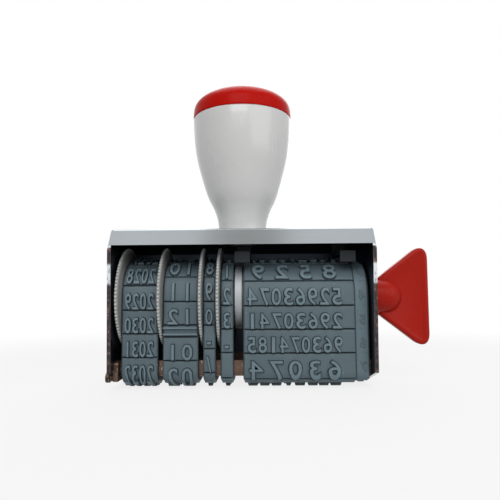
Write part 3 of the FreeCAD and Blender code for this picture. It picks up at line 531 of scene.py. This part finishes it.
def turned(name, outline, axis, steps):
    """A turned piece: an outline drawn point by point, spun round an axis and closed. Its points
    are pairs of distances right of AXIS and over it, in mm."""
    points = [AXIS + Vector((right, 0, over)) * MM for right, over in outline]
    deselect()
    bpy.ops.mesh.primitive_plane_add(size=MM, location=points[0])
    piece = bpy.context.object
    piece.name = name
    bpy.ops.object.mode_set(mode="EDIT")
    bpy.ops.mesh.select_mode(type="VERT")
    bpy.ops.mesh.select_all(action="SELECT")
    bpy.ops.mesh.merge(type="CENTER")
    for first, second in zip(points, points[1:]):
        bpy.ops.mesh.extrude_vertices_move(TRANSFORM_OT_translate={"value": second - first})
    bpy.ops.mesh.select_all(action="SELECT")
    bpy.ops.mesh.spin(steps=steps, angle=2 * math.pi, center=AXIS, axis=axis)
    bpy.ops.mesh.select_all(action="SELECT")
    bpy.ops.mesh.remove_doubles(threshold=0.004 * MM)
    bpy.ops.mesh.dissolve_degenerate(threshold=0.001 * MM)
    bpy.ops.mesh.select_all(action="SELECT")
    bpy.ops.mesh.normals_make_consistent(inside=False)
    return settle(piece)


def flowing(points, steps):
    """A smooth curve through points in a plane, with so many steps between two of them."""
    ends = [points[0], *points, points[-1]]
    curve = []
    for before, start, stop, after in zip(ends, ends[1:], ends[2:], ends[3:]):
        for step in range(steps):
            t = step / steps
            curve.append(tuple(
                0.5 * (2 * b + (c - a) * t + (2 * a - 5 * b + 4 * c - d) * t * t
                       + (3 * b - a - 3 * c + d) * t * t * t)
                for a, b, c, d in zip(before, start, stop, after)))
    return [*curve, points[-1]]


def ends_along(letter, node):
    """The two ends of a node along an axis, x, y or z, from AXIS and in mm."""
    return [(getattr(corner, letter) - getattr(AXIS, letter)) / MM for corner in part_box(node)]


# The loop that the bands run round

class Loop:
    """The band's middle line in the plane of Y and Z: distance along it to place and normal."""

    def __init__(self, bands):
        self.radius, self.corner, self.half = (bands.loop_radius, bands.corner_radius,
                                               bands.flat_half)
        self.turn = math.atan2(bands.flank_drop, self.radius - self.half)
        trim = self.corner * math.tan((math.pi / 2 - self.turn) / 2)
        self.flank = math.hypot(bands.flank_drop, self.radius - self.half) - trim
        self.bend = self.corner * (math.pi / 2 - self.turn)
        self.whole = bands.rows * bands.pitch
        run = self.half + self.flank + self.bend
        self.straight = self.whole / 2 - math.pi / 2 * self.radius - run
        self.flat_level = self.straight + trim + bands.flank_drop

    def at(self, distance):
        """Place from the wheel axis and outward normal, counted up the front from the flat."""
        distance = (distance + self.whole / 2) % self.whole - self.whole / 2
        way = 1 if distance >= 0 else -1
        left = abs(distance)
        bend_start = self.half + self.flank
        bend_end = bend_start + self.bend
        if left < self.half:
            place, normal = (-left, -self.flat_level), (0.0, -1.0)
        elif left < bend_start:
            run = left - self.half
            place = (-self.half - run * math.cos(self.turn),
                     run * math.sin(self.turn) - self.flat_level)
            normal = (-math.sin(self.turn), -math.cos(self.turn))
        elif left < bend_end:
            angle = self.turn + (left - bend_start) / self.corner
            normal = (-math.sin(angle), -math.cos(angle))
            place = (self.corner - self.radius + normal[0] * self.corner,
                     normal[1] * self.corner - self.straight)
        elif left < bend_end + self.straight:
            place, normal = (-self.radius, left - bend_end - self.straight), (-1.0, 0.0)
        else:
            angle = (left - bend_end - self.straight) / self.radius
            normal = (-math.cos(angle), math.sin(angle))
            place = (normal[0] * self.radius, normal[1] * self.radius)
        return way * place[0], place[1], way * normal[0], normal[1]

    def lay(self, piece, base, full):
        """Lays a flat band on the loop: X across, Y along its length, Z its height. The attribute
        rise is 0 at the base and 1 the full height over it."""
        rise = piece.data.attributes.new("rise", "FLOAT", "POINT")
        for place, vertex in enumerate(piece.data.vertices):
            y, z, normal_y, normal_z = self.at(vertex.co.y)
            height = vertex.co.z
            rise.data[place].value = (height - base) / full
            vertex.co = (vertex.co.x, AXIS.y + y + normal_y * height,
                         AXIS.z + z + normal_z * height)
        piece.data.update()


# Type and pads

def type_master(character, bands):
    """One raised character with a spreading foot, mirrored, its middle at the origin, cut for
    bending."""
    deselect()
    size = bands.letter / DIGIT_HEIGHT
    bpy.ops.object.text_add()
    text = bpy.context.object
    text.data.body = character
    text.data.resolution_u = 3
    text.data.bevel_depth = bands.skirt / size
    text.data.bevel_resolution = 0
    text.data.offset = 0.004
    bpy.ops.object.convert(target="MESH")
    piece = bpy.context.object
    piece.name = "type_" + {"-": "dash", "/": "slash"}.get(character, character)
    xs = [vertex.co.x for vertex in piece.data.vertices]
    middle = (min(xs) + max(xs)) / 2
    tall = (bands.type_height + SINK) / max(vertex.co.z for vertex in piece.data.vertices)
    for vertex in piece.data.vertices:
        x, y, z = vertex.co
        vertex.co = ((middle - x) * size, (y - DIGIT_HEIGHT / 2) * size, z * tall - SINK)
    pick(piece)
    bpy.ops.mesh.remove_doubles(threshold=0.002 * MM)
    for share in (-0.36, -0.12, 0.12, 0.36):
        bpy.ops.mesh.select_all(action="SELECT")
        bpy.ops.mesh.bisect(plane_co=(0, bands.letter * share, 0), plane_no=(0, 1, 0))
    bpy.ops.mesh.select_all(action="SELECT")
    bpy.ops.mesh.normals_make_consistent(inside=False)
    return settle(piece)


def pad_master(left, right, reach, height, bands):
    """A pad with leaning ends and rounded upper edges, cut across so that it can bend."""
    base = bands.web / 2
    top, width = base + height, right - left
    pad = block("pad", (left, -reach / 2, base - SINK), (right, reach / 2, top))
    lean = 1 - 2 * min(bands.draft, width * 0.12) / width
    pick(pad, lambda face: face.normal.z > 0.9)
    bpy.ops.transform.resize(value=(lean, 1 - 0.16 * MM / reach, 1),
                             center_override=((left + right) / 2, 0, top))
    pick(pad, lambda edge: all(vertex.co.z > top - 0.001 * MM for vertex in edge.verts), "EDGE")
    bpy.ops.mesh.bevel(offset=bands.rounding, segments=2, profile=0.6)
    pick(pad, lambda edge: reach_along_y(edge) > reach * 0.6, "EDGE")
    bpy.ops.mesh.subdivide(number_cuts=max(2, round(reach / (0.7 * MM))))
    return settle(pad)


def type_row(masters, characters, left, right, along, base, widest, share):
    """Copies of the characters between left and right, each stretched to its share of the step
    and no wider than widest. The row reads from right to left, because a stamp's type is a mirror
    image."""
    step = (right - left) / len(characters)
    copies = []
    for place, character in enumerate(characters):
        master = masters[character]
        extent = 2 * max(vertex.co.x for vertex in master.data.vertices)
        across = min(widest, step * share / extent)
        move = Matrix.Translation((right - step * (place + 0.5), along, base))
        copies.append(copied(master, move @ Matrix.Diagonal((across, 1, 1, 1))))
    return copies


def build_band(node, bands, masters, rows, splits, shift, span, widest, share=0.98, margin=0.0,
               extra=None):
    """A rubber band: a web, a pad between each two splits, its type, all laid round the loop.
    Rows and splits are counted in pitches from the shift, up the front from the flat; the type
    fills the span, in mm from the band's left edge."""
    loop = Loop(bands)
    low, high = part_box(node)
    half = bands.web / 2
    base = half + bands.pad
    web = block(node + "_rubber", (low.x, -loop.whole / 2, -half),
                (high.x, loop.whole / 2, half))
    pick(web, lambda edge: reach_along_y(edge) > loop.whole / 2, "EDGE")
    bpy.ops.mesh.subdivide(number_cuts=bands.rows * 10 - 1)
    pick(web, lambda face: abs(face.normal.y) > 0.9)
    bpy.ops.mesh.delete(type="FACE")
    bpy.ops.object.mode_set(mode="OBJECT")
    pieces, pads = [web], {}
    edges = sorted(split * bands.pitch + shift for split in splits)
    edges.append(edges[0] + loop.whole)
    for start, stop in zip(edges, edges[1:]):
        reach = round((stop - start - bands.groove) / MM, 3) * MM
        if reach not in pads:
            pads[reach] = pad_master(low.x, high.x - margin, reach, bands.pad, bands)
        pieces.append(copied(pads[reach], Matrix.Translation((0, (start + stop) / 2, 0))))
    for row, characters in rows:
        along = row * bands.pitch + shift - bands.letter_drop
        pieces += type_row(masters, characters, low.x + span[0] * MM, low.x + span[1] * MM,
                           along, base, widest, share)
    if extra:
        pieces += extra(low, high, shift)
    discard(pads.values())
    join(pieces)
    fill_slots(web, bpy.data.materials["moulded_rubber"])
    loop.lay(web, half, bands.pad + bands.type_height)
    pick(web, lambda vertex: (len(vertex.link_faces) < 4
                              and abs(vertex.co.y - AXIS.y) < 0.01 * MM), "VERT")
    bpy.ops.mesh.remove_doubles(threshold=0.003 * MM)
    bpy.ops.object.mode_set(mode="OBJECT")
    smooth(web, 32)
    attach(web, "root")
    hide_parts(node)


class DATER_OT_bands(bpy.types.Operator):
    """Model the five rubber bands with their raised, mirrored numbers"""
    bl_idname = "dater.bands"
    bl_label = "Rubber bands"

    def execute(self, context):
        bands = context.scene.dater_bands
        band_rubber(context.scene.dater_colours.rubber)
        masters = {character: type_master(character, bands) for character in "0123456789-/"}
        rows = range(bands.rows)
        every = [row + 0.5 for row in rows]

        def separator(low, high, shift):
            """Two ridges across the short pad between the last month and the first."""
            foot, inset, half = bands.web / 2, 0.25 * MM, 0.22 * MM
            ridges = []
            for along in (3.62, 3.88):
                middle = along * bands.pitch + shift
                ridges.append(block("line", (low.x + inset, middle - half, foot),
                                    (high.x - inset, middle + half,
                                     foot + bands.pad + bands.type_height)))
            return ridges

        def margin(low, high, shift):
            """The lower margin at the right, with thin lines and a number for each row."""
            left, height = high.x - bands.margin, bands.pad * 0.4
            whole, top = bands.rows * bands.pitch, bands.web / 2 + height
            foot, crest, line = top - SINK, top + 0.09 * MM, 0.14 * MM
            start, stop = left + 0.45 * MM, high.x - 0.55 * MM
            parts = [pad_master(left - 0.3 * MM, high.x, whole - 0.002 * MM, height, bands)]
            for row in rows:
                middle = row * bands.pitch + shift
                below = middle - bands.pitch / 2
                for near, far in (((start, below), (stop, below + line)),
                                  ((start, middle - 2.4 * MM), (start + line, middle + 2.4 * MM))):
                    parts.append(block("line", (*near, foot), (*far, crest)))
                move = Matrix.Translation((left + 1.75 * MM, middle - 0.4 * MM, top))
                parts.append(copied(masters[str((9 - row) % 10)],
                                    move @ Matrix.Diagonal((0.56, 0.60, 0.34, 1))))
            return parts

        years = [(row, str(2034 - row)) for row in rows]
        build_band("year_band", bands, masters, years, every,
                   shift=-1.5 * MM, span=(0.95, 9.0), widest=0.68)

        months = [(row, "%02d" % (4 - row)) for row in range(4)]
        months += [(row + 4.5, "%02d" % (12 - row)) for row in range(8)]
        month_splits = [0.5, 1.5, 2.5, 3.5] + [row + 4 for row in range(10)] + [13.5]
        build_band("month_band", bands, masters, months, month_splits,
                   shift=-2.4 * MM, span=(0.9, 8.6), widest=1.05, extra=separator)

        units = dict(zip((6, 5, 4, 3, 2, 13, 12, 11, 10, 9, 8, 7), "890-/1234567"))
        build_band("day_units_band", bands, masters,
                   [(row, units.get(row, "-")) for row in rows], every,
                   shift=0.7 * MM, span=(0.3, 3.05), widest=0.74)

        tens = dict(zip((6, 5, 4, 3, 1, 0, 13, 12, 11, 10, 9, 8, 7), "123--32101233"))
        build_band("day_tens_band", bands, masters,
                   [(row, tens[row]) for row in rows if row in tens], every,
                   shift=-0.35 * MM, span=(0.3, 3.15), widest=0.74)

        # Rows of digits, with as many places as the wide band's rows have
        counts = (6, 8, 5, 9, 8, 8, 4, 9, 10, 9, 6, 7, 4, 8)
        runs = [(row, "".join(str((row * 3 + place * 7) % 10) for place in range(amount)))
                for row, amount in enumerate(counts)]
        build_band("phrase_band", bands, masters, runs, every,
                   shift=-0.55 * MM, span=(0.9, 26.6), widest=1.30, share=0.95,
                   margin=bands.margin, extra=margin)
        discard(masters.values())
        return {"FINISHED"}


class DATER_OT_wheels(bpy.types.Operator):
    """Model the four toothed thumb wheels on their hubs and the bright collar"""
    bl_idname = "dater.wheels"
    bl_label = "Thumb wheels and collar"

    def execute(self, context):
        wheels, tints = context.scene.dater_wheels, context.scene.dater_colours
        grey = wheel_plastic(tints.wheel, wheels.radius)
        width, edge, bore = wheels.width / MM, wheels.edge / MM, wheels.bore / MM
        rim, hub = (wheels.radius - wheels.tooth) / MM, wheels.hub_radius / MM
        deselect()
        tooth_half = math.pi * wheels.radius / wheels.teeth * 0.98
        bpy.ops.mesh.primitive_uv_sphere_add(
            segments=8, ring_count=6, radius=1, location=(0, 0, rim * MM),
            scale=(wheels.width * 0.52, tooth_half, wheels.tooth))
        tooth = bpy.context.object
        bpy.ops.object.transform_apply(location=True, rotation=True, scale=True)
        for node in ("year_wheel", "month_wheel", "day_units_wheel", "day_tens_wheel"):
            left, right = ends_along("x", node)
            face = left + width
            disc = turned(node + "_moulding", (
                (left, bore), (left, rim - edge), (left + edge, rim), (face - edge, rim),
                (face, rim - edge), (face, hub + 0.15), (face + 0.15, hub),
                (right - edge, hub), (right, hub - edge), (right, bore), (left, bore)),
                (1, 0, 0), 96)
            centre = Vector((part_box(node)[0].x + wheels.width / 2, AXIS.y, AXIS.z))
            teeth = []
            for place in range(wheels.teeth):
                turn = Matrix.Rotation(2 * math.pi * place / wheels.teeth, 4, "X")
                teeth.append(copied(tooth, Matrix.Translation(centre) @ turn))
            join([disc, *teeth])
            fill_slots(disc, grey)
            smooth(disc, 50)
            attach(disc, node + "_body")
            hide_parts(node)
        discard([tooth])

        left, right = ends_along("x", "drum_collar")
        top = ends_along("z", "drum_collar")[1]
        ring = turned("drum_collar_turned", (
            (left, bore), (left, top - edge), (left + edge, top), (right - edge, top),
            (right, top - edge), (right, bore), (left, bore)), (1, 0, 0), 128)
        fill_slots(ring, plated("collar_bright", tints.collar, 0.55, metallic=0.3))
        smooth(ring, 30)
        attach(ring, "phrase_drum_body")
        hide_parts("drum_collar")
        return {"FINISHED"}


class DATER_OT_handle(bpy.types.Operator):
    """Model the turned handle and its domed cap"""
    bl_idname = "dater.handle"
    bl_label = "Handle"

    def execute(self, context):
        sizes, tints = context.scene.dater_handle, context.scene.dater_colours
        foot, rim = ends_along("z", "handle_body")
        floor, crown = ends_along("z", "handle_cap")
        radius, cap_radius = sizes.radius / MM, sizes.cap_radius / MM
        joint, roll = sizes.joint / MM, sizes.roll / MM
        socket, bore = sizes.spigot / MM + 0.05, sizes.bore / MM
        bore_end, spigot = foot + sizes.bore_depth / MM, sizes.spigot / MM

        side = flowing([*((out, foot + over) for out, over in HANDLE_SIDE),
                        (radius, rim - 0.35)], 6)
        body = turned("handle_body_turned", (
            (0, bore_end), (bore, bore_end), (bore, foot), (6.7, foot), *side,
            (radius - joint, rim - 0.12), (radius - 0.12 - joint, rim), (socket, rim),
            (socket, floor - 0.1), (0, floor - 0.1)), (0, 0, 1), 96)
        fill_slots(body, moulding("handle_white", tints.white, 0.24, coat=0.35))

        dome = flowing([(cap_radius, rim + roll), *((out, rim + over) for out, over in DOME_SIDE),
                        *((out, crown - under) for out, under in DOME_TOP)], 5)
        cap = turned("handle_cap_turned", (
            (0, floor), (spigot, floor), (spigot, rim), (cap_radius - roll, rim),
            (cap_radius - roll * 0.3, rim + roll * 0.3), *dome), (0, 0, 1), 96)
        fill_slots(cap, moulding("cap_red", tints.red_cap, 0.27, gloss=0.045))

        for piece, node, slot in ((body, "handle_body", "handle_white"),
                                  (cap, "handle_cap", "red_plastic")):
            smooth(piece, 40)
            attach(piece, "root")
            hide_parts(node)
        return {"FINISHED"}


class DATER_OT_knob(bpy.types.Operator):
    """Model the red wing knob on its round-nosed barrel"""
    bl_idname = "dater.knob"
    bl_label = "Knob"

    def execute(self, context):
        sizes, tints = context.scene.dater_knob, context.scene.dater_colours
        start, end, half = AXIS.x + sizes.wing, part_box("phrase_knob")[1].x, sizes.thickness / 2
        wing = block("phrase_knob_wing", (start, AXIS.y - half, AXIS.z - MM),
                     (end, AXIS.y + half, AXIS.z + MM))
        tall = sizes.neck + sizes.slope * (end - start)
        for side, reach in ((-1, sizes.neck), (1, tall)):
            pick(wing, lambda face: face.normal.x * side > 0.9)
            bpy.ops.transform.resize(value=(1, 1, reach / MM), center_override=AXIS)
        steep = math.hypot(sizes.slope, 1)
        pick(wing, lambda edge: (reach_along_y(edge) > half
                                 and edge.verts[0].co.x > end - MM), "EDGE")
        bpy.ops.mesh.bevel(offset=sizes.corner * (steep + sizes.slope), segments=12, profile=0.5)
        pick(wing, lambda face: abs(face.normal.y) > 0.9)
        bpy.ops.mesh.region_to_loop()
        bpy.ops.mesh.bevel(offset=sizes.edge, segments=5, profile=0.5)
        broad = 20 * MM * MM
        pick(wing, lambda face: abs(face.normal.y) > 0.99 and face.calc_area() > broad)
        bpy.ops.mesh.inset(thickness=sizes.border, depth=0)
        bpy.ops.mesh.inset(thickness=sizes.recess * 2.5, depth=-sizes.recess)
        settle(wing)

        first, radius = ends_along("x", "phrase_knob")[0], sizes.barrel / MM
        groove, nose = sizes.groove / MM, sizes.nose / MM
        turns = [math.pi / 2 * step / 14 for step in range(15)]
        barrel = turned("phrase_knob_barrel", (
            (first, 0), (first, radius - 0.2), (first + 0.2, radius), (groove, radius),
            (groove + 0.2, radius - 0.3), (groove + 0.6, radius - 0.3), (groove + 0.8, radius),
            *((nose + radius * math.sin(turn), radius * math.cos(turn)) for turn in turns)),
            (1, 0, 0), 72)
        join([wing, barrel])
        fill_slots(wing, moulding("knob_red", tints.red_knob, 0.26, gloss=0.10))
        smooth(wing, 35)
        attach(wing, "phrase_drum_body")
        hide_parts("phrase_knob")
        return {"FINISHED"}


class DATER_OT_metalwork(bpy.types.Operator):
    """Give the housing, platen, retainer, screw, axle and drum their finishes"""
    bl_idname = "dater.metalwork"
    bl_label = "Metalwork"

    def execute(self, context):
        tints = context.scene.dater_colours
        dress("frame", housing_chrome(tints.chrome))
        dress("platen", strip_steel(tints.platen))
        steel = plated("plated_steel", tints.steel, 0.28)
        for node in ("handle_screw", "handle_washer", "wheel_axle", "axle_washer",
                     "knob_spindle", "drum_pin"):
            dress(node, steel)
        dark = moulding("dark_plastic", tints.dark, 0.45, gloss=0.15)
        for node in ("retainer_bridge", "knob_bushing"):
            dress(node, dark)
        dress("phrase_drum", bpy.data.materials["wheel_plastic"])
        return {"FINISHED"}


# Stage

def paper_floor():
    """The pale floor: it keeps the object's shadow, and looks white away from the object."""
    deselect()
    bpy.ops.mesh.primitive_plane_add(size=6, location=(0, 0, -0.02 * MM))
    floor = bpy.context.object
    floor.name = "floor"
    paper = bpy.data.materials.new("floor_paper")
    tree = emptied(paper)
    camera = add_node(tree, "ShaderNodeLightPath", output="Is Camera Ray")
    glossy = add_node(tree, "ShaderNodeLightPath", output="Is Glossy Ray")
    matt = add_node(tree, "ShaderNodeBsdfDiffuse", {}, {"Color": (0.62, 0.62, 0.62)})
    glow = add_node(tree, "ShaderNodeEmission", {}, {"Color": (1, 1, 1), "Strength": 1.0})
    place = add_node(tree, "ShaderNodeTexCoord", output="Object")
    away = add_node(tree, "ShaderNodeVectorMath", {"operation": "LENGTH"}, {"Vector": place},
                    "Value").rise(0.10, 0.22)
    near = 0.82
    share = camera.larger(glossy) * (near + away * (1 - near))
    add_node(tree, "ShaderNodeOutputMaterial", {}, {"Surface": add_node(
        tree, "ShaderNodeMixShader", {}, {0: share, 1: matt, 2: glow})})
    fill_slots(floor, paper)


def lip_card():
    """A grey card high over the camera, seen in reflections alone: the front lip mirrors it, and
    that makes the middle of the lip darker."""
    bpy.ops.mesh.primitive_plane_add(size=1, location=AXIS + Vector((-7.5, -108, 300)) * MM,
                                     rotation=(0.325, 0, 0))
    card = bpy.context.object
    card.name = "grey_card"
    card.scale = (0.068, 0.12, 1)
    for ray_kind in ("camera", "diffuse", "shadow", "transmission"):
        setattr(card, "visible_" + ray_kind, False)
    grey = bpy.data.materials.new("card_grey")
    tree = emptied(grey)
    glow = add_node(tree, "ShaderNodeEmission", {},
                    {"Color": (0.55, 0.54, 0.52), "Strength": 1.0})
    add_node(tree, "ShaderNodeOutputMaterial", {}, {"Surface": glow})
    fill_slots(card, grey)


def studio_world(scene):
    """White where it is seen, mirrored or looked through to, and a faint light otherwise."""
    scene.world = bpy.data.worlds.new("studio")
    tree = emptied(scene.world)
    camera, glossy, through = (
        add_node(tree, "ShaderNodeLightPath", output=name)
        for name in ("Is Camera Ray", "Is Glossy Ray", "Is Transmission Ray"))
    faint = 0.22
    strength = camera.larger(glossy.larger(through)) * (1 - faint) + faint
    add_node(tree, "ShaderNodeOutputWorld", {}, {"Surface": add_node(
        tree, "ShaderNodeBackground", {}, {"Color": (1, 1, 1), "Strength": strength})})


def soft_lamps(scene):
    for name, place, size, power in LAMPS:
        data = bpy.data.lights.new(name, "AREA")
        data.shape, data.size, data.energy = "SQUARE", size, power
        lamp = bpy.data.objects.new(name, data)
        lamp.location = place
        lamp.rotation_euler = (LAMP_AIM - Vector(place)).to_track_quat("-Z", "Y").to_euler()
        scene.collection.objects.link(lamp)


def photo_camera(scene):
    """The camera at the photograph's place and angle, which were fitted to the outline."""
    data = bpy.data.cameras.new("camera")
    data.lens, data.sensor_width, data.sensor_fit = 36, 36, "HORIZONTAL"
    data.clip_start, data.clip_end = 0.01, 20
    camera = bpy.data.objects.new("camera", data)
    pitch, yaw, roll = -0.07720, -0.01821, 0.00720
    turn = (Matrix.Rotation(-roll, 3, "Y") @ Matrix.Rotation(pitch, 3, "X")
            @ Matrix.Rotation(yaw, 3, "Z"))
    right, ahead, up = turn
    place = AXIS + Vector((4.645, -144.381, 2.382)) * MM
    camera.matrix_world = Matrix(((right.x, up.x, -ahead.x, place.x),
                                  (right.y, up.y, -ahead.y, place.y),
                                  (right.z, up.z, -ahead.z, place.z), (0, 0, 0, 1)))
    scene.collection.objects.link(camera)
    scene.camera = camera


class DATER_OT_stage(bpy.types.Operator):
    """Set the floor, the world, the soft lamps and the camera"""
    bl_idname = "dater.stage"
    bl_label = "Stage"

    def execute(self, context):
        scene = context.scene
        scene.view_settings.view_transform = "Standard"
        paper_floor()
        lip_card()
        studio_world(scene)
        soft_lamps(scene)
        photo_camera(scene)
        return {"FINISHED"}


class DATER_PT_panel(bpy.types.Panel):
    """The pieces of the band dater"""
    bl_idname = "DATER_PT_panel"
    bl_label = "Band dater"
    bl_space_type = "VIEW_3D"
    bl_region_type = "UI"
    bl_category = "Dater"

    def draw(self, context):
        for operator in OPERATORS:
            self.layout.operator(operator.bl_idname)


OPERATORS = (DATER_OT_bands, DATER_OT_wheels, DATER_OT_handle, DATER_OT_knob, DATER_OT_metalwork,
             DATER_OT_stage)
GROUPS = {"dater_bands": DaterBands, "dater_wheels": DaterWheels, "dater_handle": DaterHandle,
          "dater_knob": DaterKnob, "dater_colours": DaterColours}


def register():
    for item in (*GROUPS.values(), *OPERATORS, DATER_PT_panel):
        bpy.utils.register_class(item)
    for name, group in GROUPS.items():
        setattr(bpy.types.Scene, name, bpy.props.PointerProperty(type=group))


def unregister():
    for name in GROUPS:
        delattr(bpy.types.Scene, name)
    for item in (DATER_PT_panel, *reversed(OPERATORS), *GROUPS.values()):
        bpy.utils.unregister_class(item)


def main():
    register()
    bpy.ops.dater.bands()
    bpy.ops.dater.wheels()
    bpy.ops.dater.handle()
    bpy.ops.dater.knob()
    bpy.ops.dater.metalwork()
    bpy.ops.dater.stage()


if __name__ == "__main__":
    main()
